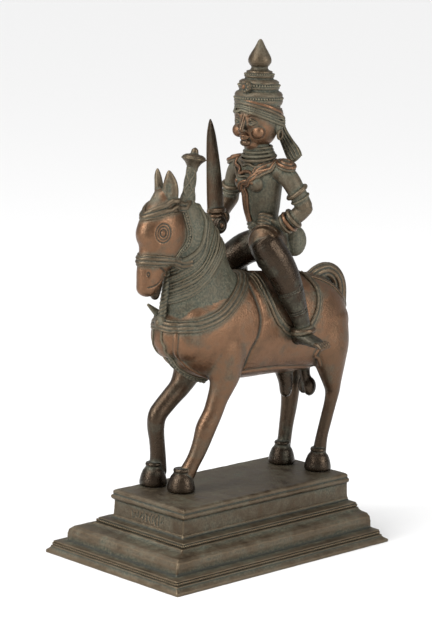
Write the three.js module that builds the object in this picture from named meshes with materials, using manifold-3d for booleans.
import * as THREE from 'three';
import { mergeVertices } from 'three/addons/utils/BufferGeometryUtils.js';
import Module from 'manifold-3d';

// A horse and rider in cast bronze on a stepped plinth, in millimetres with +Z up.
// The origin is the middle of the plinth's underside, and the plinth's short front faces -Y.
// The horse and its rider are drawn in a frame of their own: x to the horse's left, y to its
// tail, z the height above the floor. FIGURE_TURN and FIGURE_PLACE set that frame on the plinth.

const PLINTH_TOP = 36.4;
const OVERALL_HEIGHT = 280;
const FIGURE_TURN = THREE.MathUtils.degToRad(-5.4);
const FIGURE_PLACE = [-3.7, 22.9];
const CASTING_GAP = 0.3;
const HOOF_WIDTH = 15.5;
const HOOF_HEIGHT = 10;
const ROUND_ENDED = 10;
const LEFT = new THREE.Vector3(1, 0, 0);
const UP = new THREE.Vector3(0, 0, 1);

const wasm = await Module();
wasm.setup();

// Solids and joins

function toSolid(geometry) {
  const bare = geometry.clone();
  bare.deleteAttribute('normal');
  bare.deleteAttribute('uv');
  const merged = mergeVertices(bare, 1e-5);
  return new wasm.Manifold(new wasm.Mesh({
    numProp: 3,
    vertProperties: new Float32Array(merged.attributes.position.array),
    triVerts: new Uint32Array(merged.index.array),
  }));
}

function toGeometry(solid) {
  const mesh = solid.getMesh();
  const geometry = new THREE.BufferGeometry();
  geometry.setAttribute('position', new THREE.BufferAttribute(new Float32Array(mesh.vertProperties), 3));
  geometry.setIndex(new THREE.BufferAttribute(new Uint32Array(mesh.triVerts), 1));
  geometry.computeVertexNormals();
  return geometry;
}

const join = (solids) => solids.reduce((whole, solid) => whole.add(solid));
const vector = (point) => new THREE.Vector3(...point);
const curve = (points, closed = false) => (
  new THREE.CatmullRomCurve3(points.map(vector), closed, 'catmullrom', 0.5)
);
const mirrored = (stations) => stations.map(([x, ...rest]) => [-x, ...rest]);

// A limb is a rounded body strung along a smooth spine. A station is [x, y, z, wide, deep]:
// a point of the spine and the half sizes there, wide along `side` and deep across it.
// A raised ring on it is [t, half its length as a share of the spine, its height].
// Limbs of ROUND_ENDED sides or more have domed ends, and thinner ones pointed ends.
function limb(stations, { sides = 12, rows = 10, side = LEFT, grow = 0, round = 0.8, rings = [] } = {}) {
  const spine = curve(stations.map((station) => station.slice(0, 3)));
  const sizes = curve(stations.map(([, , , wide, deep]) => [wide + grow, deep + grow, 0]));
  const place = (t, angle, { lift = 0, swell = 1, slide = 0 } = {}) => {
    const ahead = spine.getTangent(t);
    const deepAxis = ahead.clone().cross(side).normalize();
    const wideAxis = deepAxis.clone().cross(ahead);
    const size = sizes.getPoint(t);
    return spine.getPoint(t)
      .addScaledVector(ahead, slide)
      .addScaledVector(wideAxis, Math.cos(angle) * (size.x + lift) * swell)
      .addScaledVector(deepAxis, Math.sin(angle) * (size.y + lift) * swell);
  };
  const beside = (t) => rings.some(([middle, half]) => Math.abs(t - middle) < half * 1.5);
  const plain = Array.from({ length: rows + 1 }, (unused, row) => [row / rows, 0]);
  const levels = [
    ...plain.filter(([t]) => !beside(t)),
    ...rings.flatMap(([middle, half, height]) => [
      [middle - half, 0], [middle - half * 0.6, height], [middle + half * 0.6, height], [middle + half, 0],
    ]),
  ].sort((one, other) => one[0] - other[0]);
  const capRows = sides < ROUND_ENDED ? 1 : 2;
  const last = levels.length - 1;
  const geometry = new THREE.SphereGeometry(1, sides, last + 2 * capRows);
  const position = geometry.attributes.position;
  for (let index = 0; index < position.count; index += 1) {
    const row = Math.floor(index / (sides + 1));
    const angle = Math.PI - (2 * Math.PI * (index % (sides + 1))) / sides;
    const [t, lift] = levels[THREE.MathUtils.clamp(row - capRows, 0, last)];
    const beyond = Math.max(capRows - row, row - capRows - last, 0) / capRows;
    const end = sizes.getPoint(t);
    const bulge = Math.sin((beyond * Math.PI) / 2) * Math.min(end.x, end.y) * round;
    const swell = Math.cos((beyond * Math.PI) / 2);
    const slide = t < 0.5 ? -bulge : bulge;
    const spot = place(t, angle, { lift, swell: beyond === 1 ? 0 : swell, slide });
    position.setXYZ(index, spot.x, spot.y, spot.z);
  }
  return { solid: toSolid(geometry), place, spine };
}

// A hoop is a round wire bent round a closed path that turns anticlockwise about `axis`.
function hoop(path, axis, thick, { sides = 6, steps = 24 } = {}) {
  const geometry = new THREE.TorusGeometry(1, 0.1, sides, steps);
  const position = geometry.attributes.position;
  for (let index = 0; index < position.count; index += 1) {
    const u = (index % (steps + 1)) / steps;
    const v = (2 * Math.PI * Math.floor(index / (steps + 1))) / sides;
    const ahead = path(u + 0.002).sub(path(u - 0.002)).normalize();
    const outward = ahead.clone().cross(axis).normalize();
    const across = outward.clone().cross(ahead);
    const spot = path(u)
      .addScaledVector(outward, Math.cos(v) * thick)
      .addScaledVector(across, Math.sin(v) * thick);
    position.setXYZ(index, spot.x, spot.y, spot.z);
  }
  return toSolid(geometry);
}

// A closed loop of wire through hand-placed points.
function loop(points, axis, thick, options) {
  const way = curve(points, true);
  return hoop((u) => way.getPoint(((u % 1) + 1) % 1), axis, thick, options);
}

// A strap is a round wire along an open route.
function strap(points, thick, { sides = 6, steps = 12 } = {}) {
  const section = new THREE.Shape().absarc(0, 0, thick, 0, 2 * Math.PI);
  return toSolid(new THREE.ExtrudeGeometry(section, {
    steps, curveSegments: sides / 2, bevelEnabled: false, extrudePath: curve(points),
  }));
}

function ball([x, y, z], [wide, deep, high], { sides = 12, rows = 8 } = {}) {
  const geometry = new THREE.SphereGeometry(1, sides, rows).rotateX(Math.PI / 2);
  return toSolid(geometry.scale(wide, deep, high).translate(x, y, z));
}

// A turned form from [radius, height] steps, set upright at a point and leaned over.
function turned(profile, [x, y, z], { sides = 16, lean = 0 } = {}) {
  const outline = profile.map(([radius, height]) => new THREE.Vector2(radius, height));
  const geometry = new THREE.LatheGeometry(outline, sides).rotateX(Math.PI / 2).rotateX(lean);
  return toSolid(geometry.translate(x, y, z));
}

// Plinth

// Each tier edge is [half width, front reach, back reach, height].
function plinth() {
  const edges = [
    [52.1, 82.3, 82.3, 0], [52.1, 82.3, 82.3, 1.5], [50.2, 81.0, 79.4, 3.2], [49.0, 80.2, 78.4, 4.6],
    [49.0, 80.2, 78.4, 6.6], [43.2, 74.7, 76.9, 7.1], [43.4, 74.6, 76.4, 11.4], [42.9, 73.6, 76.0, 14.0],
    [41.2, 71.4, 75.6, 15.6], [36.6, 65.2, 75.2, 16.4], [35.4, 63.6, 75.0, 17.6], [33.4, 61.0, 74.9, 18.2],
    [33.4, 61.0, 74.9, 19.9], [27.4, 55.6, 73.9, 21.2], [27.0, 55.1, 73.4, 30.6], [28.4, 56.5, 73.5, 31.4],
    [28.6, 56.7, 73.5, 33.2], [27.6, 55.6, 73.2, 33.8], [27.9, 55.9, 73.0, 35.4],
    [26.4, 54.1, 72.0, PLINTH_TOP],
  ];
  const corners = 4;
  const geometry = new THREE.CylinderGeometry(1, 1, 1, corners, edges.length - 1);
  const position = geometry.attributes.position;
  const spot = new THREE.Vector3();
  for (let index = 0; index < position.count; index += 1) {
    spot.fromBufferAttribute(position, index);
    const [half, front, back, height] = edges[Math.round((0.5 - spot.y) * (edges.length - 1))];
    const centre = Math.hypot(spot.x, spot.z) < 0.5;
    const reach = Math.round(spot.x) + Math.round(spot.z) > 0 ? back : -front;
    const along = Math.round(spot.x) - Math.round(spot.z) > 0 ? half : -half;
    position.setXYZ(index, centre ? 0 : along, centre ? 0 : reach, height);
  }
  return toSolid(geometry);
}

// Horse

function trunk(grow = 0) {
  return limb([
    [0, -57, 122, 12, 13], [0, -51, 122, 17.4, 20], [0, -39, 122.5, 20, 25.5], [0, -24, 123, 20.5, 28.5],
    [0, -8, 123, 20, 29.5], [0, 10, 122.5, 19.5, 28.8], [0, 28, 122, 20, 28.4], [0, 44, 120.5, 20, 26.5],
    [0, 55, 119, 16.5, 21], [0, 61, 118, 10, 13],
  ], { sides: 14, rows: 9, grow, round: 0.5 });
}

// Half the trunk's width at a height z over the point y of its spine.
function flank(body, y, z) {
  let [low, high] = [0, 1];
  for (let halving = 0; halving < 20; halving += 1) {
    const middle = (low + high) / 2;
    if (body.spine.getPoint(middle).y < y) low = middle;
    else high = middle;
  }
  const centre = body.spine.getPoint(low);
  const rib = body.place(low, 0);
  const back = body.place(low, -Math.PI / 2);
  const rise = THREE.MathUtils.clamp((z - centre.z) / (back.z - centre.z), -1, 1);
  return rib.x * Math.sqrt(1 - rise * rise);
}

function neck(grow = 0) {
  return limb([
    [0, -31, 126, 17, 27], [0, -36, 140.5, 14.8, 25.5], [0, -39.3, 151, 12.4, 21.8],
    [0, -42, 165, 10.4, 18.4], [0, -46.1, 178, 9.2, 14.6], [0, -49.8, 188.5, 7.6, 8.8],
  ], { sides: 12, rows: 6, grow, rings: [[0.56, 0.05, 1.4], [0.74, 0.05, 1.4]] });
}

function head() {
  const skull = limb([
    [0, -64, 197, 6, 7], [0, -64.5, 191, 7.6, 10.2], [0, -64.8, 184, 9.3, 14.4], [0, -65, 177, 9.8, 16],
    [0, -66.5, 169, 8.6, 13.6], [0, -70.1, 162, 6.6, 9.8], [0, -72.6, 154, 5.8, 8], [0, -75, 148.5, 5, 5.4],
  ], { sides: 10, rows: 8, rings: [[0.14, 0.05, 1.6], [0.73, 0.05, 1.5]] });
  const lip = limb([[0, -68, 152, 3.6, 4], [0, -67.8, 144.6, 3, 2.8]], { sides: 6, rows: 1 });
  const cheekStraps = [1, -1].map((way) => strap([
    [way * 7.6, -57, 191], [way * 8.6, -52, 182], [way * 8, -52.5, 172], [way * 6, -60, 164],
  ], 1.2, { steps: 4, sides: 4 }));
  return join([skull.solid, lip.solid, ...cheekStraps, ...ears(), plume()]);
}

function ears() {
  return [1, -1].map((way) => {
    const shell = limb([
      [way * 4.6, -63, 194, 3, 2.6], [way * 5, -63.6, 200, 4.1, 2.6], [way * 5.2, -64.4, 206, 3.8, 2.1],
      [way * 5, -65.2, 212, 1, 0.9],
    ], { sides: 8, rows: 4, side: new THREE.Vector3(way * 0.6, 0.8, 0) });
    const cup = ball([way * 7.2, -66.2, 204], [2.6, 2.4, 5.2], { sides: 6, rows: 4 });
    return shell.solid.subtract(cup);
  });
}

function plume() {
  const post = limb([
    [0, -49, 188, 4.6, 4.6], [0, -47.6, 197, 3.4, 3.4], [0, -45.6, 213, 3, 3],
  ], { sides: 8, rows: 3 });
  const knob = turned([
    [0, 0], [3, 0], [5.9, 4.6], [6.4, 6.2], [5.2, 8], [1.9, 8.6], [1.5, 10.8], [0, 11.6],
  ], [0, -45.4, 211.4], { sides: 10, lean: -0.14 });
  return post.solid.add(knob);
}

// Each leg runs from inside the body to the top of its hoof.
function legs() {
  const leftFore = limb([
    [9.5, -28, 130, 9, 12], [11.6, -28, 114, 9.6, 13], [12, -28.5, 100, 7.8, 10], [12, -30, 93, 6.6, 7.2],
    [11.5, -32.2, 86.8, 5.6, 6], [11, -35.1, 78.4, 5.2, 5.6], [10.5, -39, 70.7, 5.2, 6],
    [10, -41.2, 63.6, 4.6, 5.3], [9.3, -43.8, 56.6, 4.3, 4.6],
    [8.6, -46.6, 51, 4.2, 4.4], [7.8, -49.8, 45.1, 4.8, 5],
  ], { sides: 8, rows: 9, round: 0.4 });
  const rightFore = limb([
    [-9.5, -30, 130, 9, 12], [-11.6, -31, 114, 9.6, 13], [-12, -34, 100, 7.6, 9.4],
    [-12, -39.4, 90.4, 6, 6.4], [-12, -45.1, 85.2, 5.4, 5.8],
    [-12.5, -51.1, 79.3, 5.2, 5.6], [-12.5, -54.8, 75, 5, 5.5],
    [-12.5, -55.6, 68.6, 4.6, 5], [-12.5, -54.5, 60.6, 4.2, 4.5], [-12.5, -53.5, 51.5, 4.3, 4.7],
    [-12.3, -53.7, 43.1, 5, 5.4],
  ], { sides: 8, rows: 9, round: 0.4 });
  const leftHind = limb([
    [11, 45, 124, 9, 15], [13, 46.5, 109, 8.6, 13.5], [13.3, 48, 98.7, 7.4, 10], [13, 50.1, 87.2, 5.2, 5.8],
    [12.5, 51.2, 82, 4.2, 4.5], [12, 50.6, 75.6, 3.6, 3.7], [11.5, 48, 64.7, 3.4, 3.6],
    [11.2, 45.6, 55, 3.4, 3.6], [11, 44.4, 45.7, 4, 4.2],
  ], { sides: 8, rows: 9, round: 0.4 });
  const rightHind = limb([
    [-11, 43, 124, 9, 15], [-13, 42.5, 108, 8.6, 13], [-13.3, 42, 95, 6.8, 8.6], [-13, 42.2, 84, 5.5, 6.2],
    [-13, 41.8, 76.4, 5.1, 5.5], [-13, 41.4, 69.5, 4.6, 5], [-12.9, 39.7, 58, 4.1, 4.3],
    [-12.6, 38.4, 48.8, 4, 4.2], [-12.2, 37, 43.7, 4.3, 4.5],
  ], { sides: 8, rows: 9, round: 0.4 });
  return [leftFore, rightFore, leftHind, rightHind].map((leg) => leg.solid);
}

function hooves() {
  const spots = [[-12, -56.8], [7.2, -52.4], [-12, 36.4], [11, 43.6]];
  const half = HOOF_WIDTH / 2;
  return spots.map(([x, y]) => turned([
    [0, 0], [half, 0], [half, 1.8], [half * 0.86, 6], [half * 0.56, HOOF_HEIGHT],
    [0, HOOF_HEIGHT],
  ], [x, y, PLINTH_TOP + CASTING_GAP], { sides: 8 }));
}

function tail() {
  return limb([
    [0, 41, 144, 3.5, 4], [0, 46, 147.6, 3.8, 4.4], [0, 53.4, 149.4, 4, 4.6], [0, 60, 146.4, 4.2, 4.8],
    [0, 64, 139.5, 4.4, 4.6], [0, 64.6, 128, 4.4, 4.4], [0, 64.8, 112, 4.2, 4], [0, 64, 96, 3.6, 3.4],
    [0, 62, 82, 2.2, 2.2],
  ], { sides: 6, rows: 10 }).solid;
}

function underside() {
  const sheath = limb([
    [0, 24, 96, 5, 6], [0, 26.5, 88, 4, 4.2], [0, 27, 81, 3.2, 3.4],
  ], { sides: 8, rows: 2 });
  const pouch = ball([0, 43, 83.5], [5, 4.6, 6], { sides: 8, rows: 6 });
  const root = limb([[0, 40, 95, 3.4, 3.4], [0, 42, 86, 2.8, 2.8]], { sides: 8, rows: 2 });
  return [sheath.solid, pouch, root.solid];
}

// The saddle cloth is the trunk's own form swollen a little inside a U-shaped outline.
const CLOTH_OUTLINE = [
  [-2, 152], [-1.6, 144], [0.4, 136], [3.6, 129.6], [9, 124.2], [16, 121], [23, 122.4], [28, 127.6],
  [32, 135], [33.4, 142], [30, 150],
];

function saddle(grow = 0) {
  const shape = new THREE.Shape();
  shape.moveTo(...CLOTH_OUTLINE[0]);
  shape.splineThru(CLOTH_OUTLINE.slice(1).map(([y, z]) => new THREE.Vector2(y, z)));
  shape.lineTo(28, 158);
  shape.lineTo(-2, 158);
  const WIDE = 60;
  const prism = new THREE.ExtrudeGeometry(shape, { depth: WIDE, bevelEnabled: false, curveSegments: 5 })
    .translate(0, 0, -WIDE / 2)
    .applyMatrix4(new THREE.Matrix4().makeBasis(new THREE.Vector3(0, 1, 0), UP, LEFT));
  const body = trunk(grow);
  const cloth = trunk(grow + 0.9).solid.intersect(toSolid(prism));
  const border = [1, -1].map((way) => {
    const route = CLOTH_OUTLINE.map(([y, z]) => [way * (flank(body, y, z) + 0.4), y, z]);
    return strap(route, 1.5 + grow, { steps: 8, sides: 4 });
  });
  return join([cloth, ...border]);
}

// The left half of a loop, from front to back, completed by its mirror image.
function bothSides(half) {
  return [...half, ...mirrored(half.slice(1, -1)).reverse()];
}

// Ropes round the neck's foot, from the chest over the shoulder to the withers and back.
function collars(grow = 0) {
  const breast = bothSides([
    [0, -62.4, 127], [11.4, -56.8, 127.4], [17.8, -47, 130], [18.8, -36, 134.4], [15.8, -25, 143],
    [11.6, -16, 151.6], [0, -9.5, 154],
  ]);
  const throat = bothSides([
    [0, -60.6, 145], [8, -55.5, 146], [12, -46, 150.6], [12.6, -36, 158], [10, -27, 166], [0, -22.6, 171],
  ]);
  return [[breast, 2.6], [throat, 1.8]]
    .map(([points, thick]) => loop(points, UP, thick + grow, { steps: 18, sides: 4 }));
}

function harness() {
  const braid = strap([
    [0, -60.5, 160], [0, -60.8, 146], [0, -62, 130], [0, -60.4, 119],
    [0, -53, 106.6], [0, -43, 98], [0, -30, 94.6],
  ], 2.3, { steps: 8, sides: 4 });
  const knot = ball([0, -63.6, 129], [4, 2.6, 4.4], { sides: 8, rows: 4 });
  const bell = limb([[-13, -58, 133, 2, 2], [-14.5, -61.6, 136.8, 0.8, 0.8]], { sides: 6, rows: 1 });
  const crupper = loop(bothSides([
    [0, 26, 151], [5.4, 33, 149.4], [7.4, 42, 147], [9.6, 51, 142.4], [10, 58, 135], [0, 67.4, 128],
  ]), UP, 1.3, { steps: 12, sides: 4 });
  return [braid, knot, bell.solid, crupper];
}

function horse() {
  return join([
    trunk().solid, neck().solid, head(), ...legs(), ...hooves(), tail(), ...underside(),
    saddle(), ...collars(), ...harness(),
  ]);
}

// What the rider sits on, swollen by the gap between the two castings.
function seatClearance() {
  return join([
    trunk(CASTING_GAP).solid, neck(CASTING_GAP).solid, saddle(CASTING_GAP), ...collars(CASTING_GAP),
  ]);
}

// Rider

const HEAD_TURN = THREE.MathUtils.degToRad(15);

function riderHead() {
  const skull = limb([
    [0, -0.6, 249, 10.4, 11], [0, -1, 243, 12, 12.8], [0, -1.4, 236.5, 12.2, 13.2], [0, -2.6, 230, 11, 12],
    [0, -4.6, 225.4, 7.8, 9], [0, -5.6, 223, 4.4, 5.6],
  ], { sides: 12, rows: 6 });
  const nose = limb([[0, -13.4, 237, 1.1, 1.2], [0, -14.8, 231.6, 2.2, 1.6]], { sides: 6, rows: 1 });
  const lips = ball([0, -13, 227.8], [3, 1.6, 1.4], { sides: 6, rows: 4 });
  const ears = [1, -1].map((way) => ball([way * 12, 1.6, 233.6], [1.8, 2.8, 5], { sides: 6, rows: 4 }));
  const fringe = loop(bothSides([
    [0, -13.8, 246], [8.4, -9.8, 245.4], [12.4, -1, 240.6], [11.2, 7, 235.4], [0, 12.6, 234],
  ]), UP, 1.6, { steps: 14, sides: 4 });
  const head = join([skull.solid, nose.solid, lips, ...ears, fringe]);
  return head.rotate([0, 0, THREE.MathUtils.radToDeg(HEAD_TURN)]);
}

function crown() {
  const body = turned([
    [0, 244], [11.8, 244], [13.2, 246.6], [13.1, 249.6], [10.9, 252.4], [11.1, 256.8], [7.6, 259],
    [7.4, 262.4], [4.6, 264.6], [6.4, 268], [5.4, 272], [2.6, 276.2], [1.2, 279], [0, OVERALL_HEIGHT],
  ], [0, -0.8, 0], { sides: 10 });
  const bud = ball([3.2, -12, 254.6], [3.4, 3, 3.6], { sides: 6, rows: 4 });
  return body.add(bud);
}

function ribbon() {
  return limb([
    [2, 10, 240, 4.5, 2], [4, 12.6, 231, 3, 1.5], [7, 14.4, 224.6, 3.6, 1.3], [12.5, 14.6, 218.6, 4.8, 1.4],
    [15.5, 14.2, 215.6, 4.4, 1.2],
  ], { sides: 6, rows: 5, side: new THREE.Vector3(0.75, 0.3, 0.6).normalize() }).solid;
}

function torso() {
  const body = limb([
    [0, 12.4, 157.5, 9, 8], [0, 11.6, 164, 12.6, 10], [0, 8.6, 173, 11, 9.4], [0, 6, 180.5, 9, 8.4],
    [0, 4.6, 188, 11.2, 9], [0, 3.4, 197, 13.6, 9.6], [0, 2.6, 205, 15, 9.6], [0, 2, 211, 13, 8.4],
    [0, 1, 215.6, 8, 7],
  ], { sides: 12, rows: 7, rings: [[0.38, 0.03, 1.2]] });
  const neckBase = limb([[0, 1, 211, 7.4, 7], [0, -1, 226, 6.6, 6.6]], { sides: 10, rows: 1, round: 0.3 });
  const collar = hoop((u) => new THREE.Vector3(
    Math.cos(2 * Math.PI * u) * 12,
    1 + Math.sin(2 * Math.PI * u) * 9.6,
    213 + Math.sin(2 * Math.PI * u) * 1.6,
  ), UP, 2.6, { steps: 12, sides: 4 });
  const scarf = strap([
    [8.5, -6.8, 210], [2, -8.6, 205], [-4.4, -7.8, 200], [-5.4, -6.2, 190], [-4.4, -2.4, 181],
  ], 1.8, { steps: 6, sides: 4 });
  return join([body.solid, neckBase.solid, collar, scarf]);
}

function leftArm() {
  const upper = limb([
    [15.6, 4.4, 209.6, 5.6, 5.8], [20, 6.6, 205, 5.4, 5.4],
    [23.4, 9.4, 198, 4.9, 5], [25.6, 12.6, 190.6, 4.8, 5],
  ], { sides: 8, rows: 4, rings: [[0.72, 0.06, 1.4]] });
  const fore = limb([
    [25.8, 13.2, 190.4, 4.8, 4.8], [23.2, 11, 186.4, 4.5, 4.5],
    [18.6, 7.8, 181.6, 4, 4.2], [14, 6, 177.4, 4.6, 3.6],
  ], { sides: 8, rows: 4, rings: [[0.6, 0.14, 1.6]] });
  const epaulette = ball([18.6, 4.6, 213.4], [5.8, 5.6, 2.8], { sides: 8, rows: 4 });
  return join([upper.solid, fore.solid, epaulette]);
}

function rightArm() {
  const upper = limb([
    [-15.6, 1, 209.6, 5.4, 5.6], [-20, 1.4, 205, 5, 5.2],
    [-23, 2, 197.6, 4.6, 4.8], [-24.6, 2.4, 189.6, 4.4, 4.6],
  ], { sides: 8, rows: 4 });
  const fore = limb([
    [-24.6, 2, 189.4, 4.4, 4.4], [-22.4, -4, 185, 4.2, 4.2], [-18, -10.4, 181, 3.8, 4],
  ], { sides: 8, rows: 3, rings: [[0.8, 0.1, 1.2]] });
  const fist = ball([-15.4, -14.6, 180], [4.6, 5, 4.6], { sides: 8, rows: 6 });
  const epaulette = ball([-18.4, 0.6, 213], [5.4, 5.4, 2.6], { sides: 8, rows: 4 });
  return join([upper.solid, fore.solid, fist, epaulette]);
}

function sword() {
  const blade = limb([
    [-15, -15.8, 180, 1.7, 6], [-15, -17.2, 196, 1.6, 5.6],
    [-15, -19, 212, 1.5, 4.6], [-15, -20.8, 226, 1.3, 3.2],
    [-15, -21.8, 234.6, 0.6, 1],
  ], { sides: 6, rows: 5 });
  const guard = limb([
    [-15, -15.8, 184.6, 3.4, 6.6], [-15, -15.6, 182.6, 3.4, 6.6],
  ], { sides: 8, rows: 1, round: 0.2 });
  const pommel = limb([
    [-13.6, -14.4, 176.6, 4.6, 4.6], [-10.6, -17, 176, 4.4, 4.4],
  ], { sides: 8, rows: 1, round: 0.3 });
  return join([blade.solid, guard.solid, pommel.solid]);
}

function riderLegs() {
  const leftThigh = limb([
    [5, 8, 168, 9, 9], [10.6, 0, 171, 9.4, 9.2], [15, -6.6, 171, 9, 9],
  ], { sides: 10, rows: 2 });
  const leftShin = limb([
    [15.4, -6, 170, 8.6, 8.8], [18.6, -1.4, 162.4, 9, 9.4],
    [20.8, 3, 154.6, 8.4, 8.8], [22.2, 6.2, 147.6, 7.6, 8],
    [23, 9, 141, 7, 7.2], [24, 12.6, 132.6, 5.4, 5.6],
    [24.8, 15.6, 124, 4.2, 4.4], [25, 16.4, 118.8, 4, 4.2],
  ], { sides: 10, rows: 7, rings: [[0.92, 0.04, 3.6]] });
  const rightThigh = limb([
    [-5, 9, 167, 9, 9], [-12, 4, 163.4, 9, 9], [-18.6, -0.4, 157.4, 8.6, 8.6],
  ], { sides: 10, rows: 2 });
  const rightShin = limb([
    [-19, -0.6, 157, 8.4, 8.6], [-21.6, 4, 148, 7.8, 8.2],
    [-23, 8.2, 140, 6.8, 7], [-24, 12.4, 131.6, 5.4, 5.6],
    [-24.8, 15.6, 124, 4.2, 4.4], [-25, 16.4, 118.8, 4, 4.2],
  ], { sides: 10, rows: 7, rings: [[0.91, 0.045, 3.6]] });
  const feet = [1, -1].map((way) => limb([
    [way * 24.6, 14.8, 118, 4, 4], [way * 30, 17, 117.2, 4.4, 3.4], [way * 35.4, 19.2, 115.2, 4.8, 2.4],
    [way * 39, 20.8, 113.6, 4.2, 1.5],
  ], { sides: 8, rows: 3, side: new THREE.Vector3(0, 1, 0) }).solid);
  return join([
    leftThigh.solid, leftShin.solid, rightThigh.solid, rightShin.solid, ...feet,
  ]);
}

function rider() {
  const sash = ball([8.4, 22, 169], [6, 7, 8.6], { sides: 10, rows: 6 });
  const whole = join([
    riderHead(), crown(), ribbon(), torso(), leftArm(), rightArm(), sword(), riderLegs(), sash,
  ]);
  return whole.subtract(seatClearance());
}

// Figure

const bronze = (colour, roughness) => (
  new THREE.MeshStandardMaterial({ color: colour, roughness, metalness: 0.9 })
);

function node(name, solid, material) {
  const pieces = solid.decompose();
  const largest = pieces.reduce((best, piece) => (piece.volume() > best.volume() ? piece : best));
  const mesh = new THREE.Mesh(toGeometry(largest), material);
  mesh.name = name;
  return mesh;
}

const figure = new THREE.Group();
figure.position.set(...FIGURE_PLACE, 0);
figure.rotation.z = FIGURE_TURN;
figure.add(node('horse', horse(), bronze(0x7a5a40, 0.42)));
figure.add(node('rider', rider(), bronze(0x57483a, 0.4)));

const group = new THREE.Group();
group.add(node('plinth', plinth(), bronze(0x4a4638, 0.5)));
group.add(figure);

export default group;
